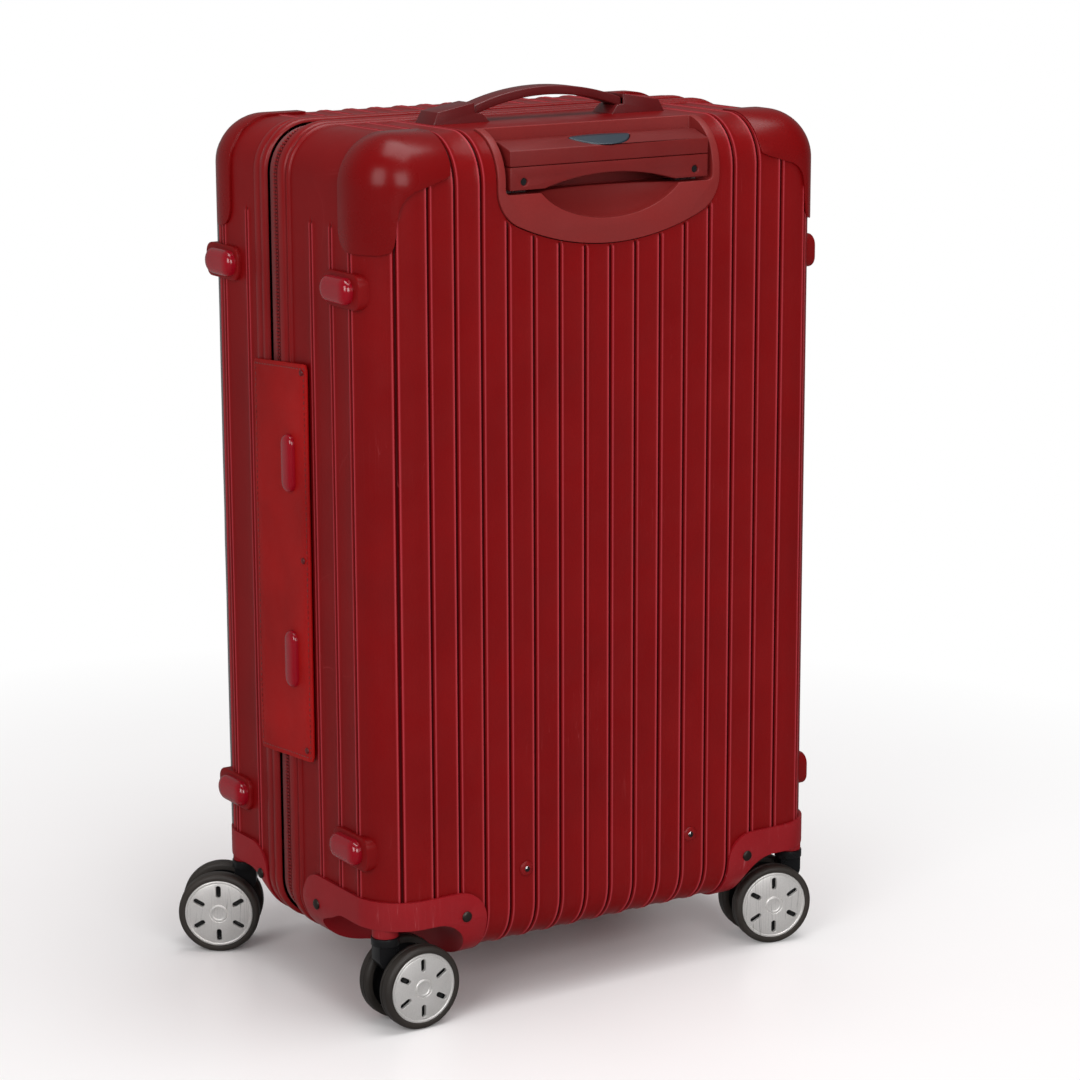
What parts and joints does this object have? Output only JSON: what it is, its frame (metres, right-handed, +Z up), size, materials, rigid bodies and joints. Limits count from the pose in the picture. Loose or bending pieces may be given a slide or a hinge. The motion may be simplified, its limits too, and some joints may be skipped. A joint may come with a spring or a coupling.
{
  "type": "suitcase",
  "caption": "Hard shell suitcase with two ribbed half shells joined by a zip, telescopic pull handle, carry handles, combination lock and swivelling double casters",
  "frame": {"origin": "on the floor, at the middle of the whole object's box in X and Y", "axes": "+Z up, +X to the lock side, +Y to the front shell; the pull handle is on the -Y side and the soft hinge on the -X side"},
  "size_m": [0.4698, 0.2902, 0.69],
  "materials": {
    "shell": "deep red grained shell, satin",
    "edge_trim": "bright red moulded edge, satin",
    "zip": "dark red woven tape with a moulded chain",
    "tray": "brownish red, fine matt grain",
    "tube": "anodised, satin",
    "socket": "black moulded",
    "steel": "zinc plated",
    "wheel_guard": "red moulded, satin, scuffed",
    "dark_pin": "dark pins",
    "foot": "crimson, slightly clear, glossy",
    "leather": "orange red coated leather with stitched edge",
    "grip": "brownish red, fine matt grain",
    "button": "dark slate blue",
    "handle": "brownish red, satin",
    "lock": "deep red, satin",
    "dial": "black with pale marks",
    "zip_metal": "red lacquered zinc",
    "lining": "dark grey woven lining",
    "fork": "black, satin",
    "tyre": "dark brown-black",
    "hub": "silver grey, lightly scratched"
  },
  "bodies": {
    "back_half": {"back_shell": "shell", "back_edge_trim": "edge_trim", "back_zip_tape": "zip", "handle_tray": "tray", "outer_tubes": "tube", "tube_sockets": "socket", "tube_screws": "steel", "back_left_wheel_guard": "wheel_guard", "back_right_wheel_guard": "wheel_guard", "back_guard_rivets": "dark_pin", "back_feet": "foot", "hinge_cover_back": "leather", "top_handle_mounts": "handle", "side_handle_mounts": "handle", "lock_case": "lock", "back_lining": "lining"},
    "front_half": {"front_shell": "shell", "front_edge_trim": "edge_trim", "front_zip_tape": "zip", "front_left_wheel_guard": "wheel_guard", "front_right_wheel_guard": "wheel_guard", "front_guard_rivets": "dark_pin", "front_side_feet": "foot", "hinge_cover_front": "leather", "front_lining": "lining", "divider_panel": "lining"},
    "trolley_middle": {"middle_tubes": "tube"},
    "trolley_grip": {"inner_tubes": "tube", "grip_upper_shell": "grip", "grip_lower_shell": "grip", "grip_screws": "dark_pin", "button_spring": "steel"},
    "grip_button": {"grip_button": "button", "release_rods": "steel"},
    "top_handle": {"top_handle_strap": "handle"},
    "side_handle": {"side_handle_strap": "handle"},
    "lock_dial_lower": {"lock_dial_lower": "dial"},
    "lock_dial_middle": {"lock_dial_middle": "dial"},
    "lock_dial_upper": {"lock_dial_upper": "dial"},
    "lock_button": {"lock_button": "dial"},
    "zip_slider_upper": {"zip_slider_upper": "zip_metal"},
    "zip_slider_lower": {"zip_slider_lower": "zip_metal"},
    "pull_tab_upper": {"pull_tab_upper": "zip_metal"},
    "pull_tab_lower": {"pull_tab_lower": "zip_metal"},
    "back_left_caster": {"back_left_caster_fork": "fork", "back_left_caster_axle": "steel"},
    "back_left_wheels": {"back_left_tyres": "tyre", "back_left_wheel_hubs": "hub"},
    "back_right_caster": {"back_right_caster_fork": "fork", "back_right_caster_axle": "steel"},
    "back_right_wheels": {"back_right_tyres": "tyre", "back_right_wheel_hubs": "hub"},
    "front_left_caster": {"front_left_caster_fork": "fork", "front_left_caster_axle": "steel"},
    "front_left_wheels": {"front_left_tyres": "tyre", "front_left_wheel_hubs": "hub"},
    "front_right_caster": {"front_right_caster_fork": "fork", "front_right_caster_axle": "steel"},
    "front_right_wheels": {"front_right_tyres": "tyre", "front_right_wheel_hubs": "hub"}
  },
  "joints": [
    {"name": "lid_hinge", "type": "hinge", "parent": "back_half", "child": "front_half", "pos_m": [-0.20013, 0.00474, 0.356], "axis": [0, 0, 1], "range_deg": [0, 160]},
    {"name": "trolley_lower_stage", "type": "slide", "parent": "back_half", "child": "trolley_middle", "axis": [0, 0, 1], "range_m": [0, 0.2]},
    {"name": "trolley_upper_stage", "type": "slide", "parent": "trolley_middle", "child": "trolley_grip", "axis": [0, 0, 1], "range_m": [0, 0.19]},
    {"name": "grip_button_press", "type": "slide", "parent": "trolley_grip", "child": "grip_button", "axis": [0, 0, -1], "range_m": [0, 0.0035], "stiffness_N_per_m": 500, "springref_m": -0.005, "deforming": ["button_spring"]},
    {"name": "top_handle_lift", "type": "slide", "parent": "back_half", "child": "top_handle", "axis": [0, 0, 1], "range_m": [0, 0.004]},
    {"name": "side_handle_lift", "type": "slide", "parent": "back_half", "child": "side_handle", "axis": [1, 0, 0], "range_m": [0, 0.004]},
    {"name": "lock_button_press", "type": "slide", "parent": "back_half", "child": "lock_button", "axis": [-1, 0, 0], "range_m": [0, 0.0025], "stiffness_N_per_m": 300, "springref_m": -0.003},
    {"name": "zip_slider_upper_run", "type": "slide", "parent": "back_half", "child": "zip_slider_upper", "axis": [0, 0, 1], "range_m": [0, 0.18]},
    {"name": "zip_slider_lower_run", "type": "slide", "parent": "back_half", "child": "zip_slider_lower", "axis": [0, 0, -1], "range_m": [0, 0.18]},
    {"name": "pull_tab_upper_swing", "type": "hinge", "parent": "zip_slider_upper", "child": "pull_tab_upper", "pos_m": [0.21987, 0.00474, 0.424], "axis": [0, -1, 0], "range_deg": [0, 165]},
    {"name": "pull_tab_lower_swing", "type": "hinge", "parent": "zip_slider_lower", "child": "pull_tab_lower", "pos_m": [0.21987, 0.00474, 0.288], "axis": [0, -1, 0], "range_deg": [0, 165]},
    {"name": "lock_dial_lower_turn", "type": "hinge", "parent": "back_half", "child": "lock_dial_lower", "pos_m": [0.21837, -0.03726, 0.352], "axis": [0, 0, 1], "continuous": true},
    {"name": "lock_dial_middle_turn", "type": "hinge", "parent": "back_half", "child": "lock_dial_middle", "pos_m": [0.21837, -0.03726, 0.366], "axis": [0, 0, 1], "continuous": true},
    {"name": "lock_dial_upper_turn", "type": "hinge", "parent": "back_half", "child": "lock_dial_upper", "pos_m": [0.21837, -0.03726, 0.38], "axis": [0, 0, 1], "continuous": true},
    {"name": "back_left_swivel", "type": "hinge", "parent": "back_half", "child": "back_left_caster", "pos_m": [-0.18013, -0.12126, 0.08], "axis": [0, 0, 1], "continuous": true},
    {"name": "back_left_wheel_spin", "type": "hinge", "parent": "back_left_caster", "child": "back_left_wheels", "pos_m": [-0.15963, -0.12126, 0.0323], "axis": [0, 1, 0], "continuous": true},
    {"name": "back_right_swivel", "type": "hinge", "parent": "back_half", "child": "back_right_caster", "pos_m": [0.19787, -0.12126, 0.08], "axis": [0, 0, 1], "continuous": true},
    {"name": "back_right_wheel_spin", "type": "hinge", "parent": "back_right_caster", "child": "back_right_wheels", "pos_m": [0.17802, -0.11613, 0.0323], "axis": [-0.2504, -0.9681, 0], "continuous": true},
    {"name": "front_left_swivel", "type": "hinge", "parent": "front_half", "child": "front_left_caster", "pos_m": [-0.18013, 0.09874, 0.08], "axis": [0, 0, 1], "continuous": true},
    {"name": "front_left_wheel_spin", "type": "hinge", "parent": "front_left_caster", "child": "front_left_wheels", "pos_m": [-0.19712, 0.1102, 0.0323], "axis": [-0.5592, -0.829, 0], "continuous": true},
    {"name": "front_right_swivel", "type": "hinge", "parent": "front_half", "child": "front_right_caster", "pos_m": [0.19787, 0.09874, 0.08], "axis": [0, 0, 1], "continuous": true},
    {"name": "front_right_wheel_spin", "type": "hinge", "parent": "front_right_caster", "child": "front_right_wheels", "pos_m": [0.18012, 0.10899, 0.0323], "axis": [-0.5, -0.866, 0], "continuous": true}
  ]
}
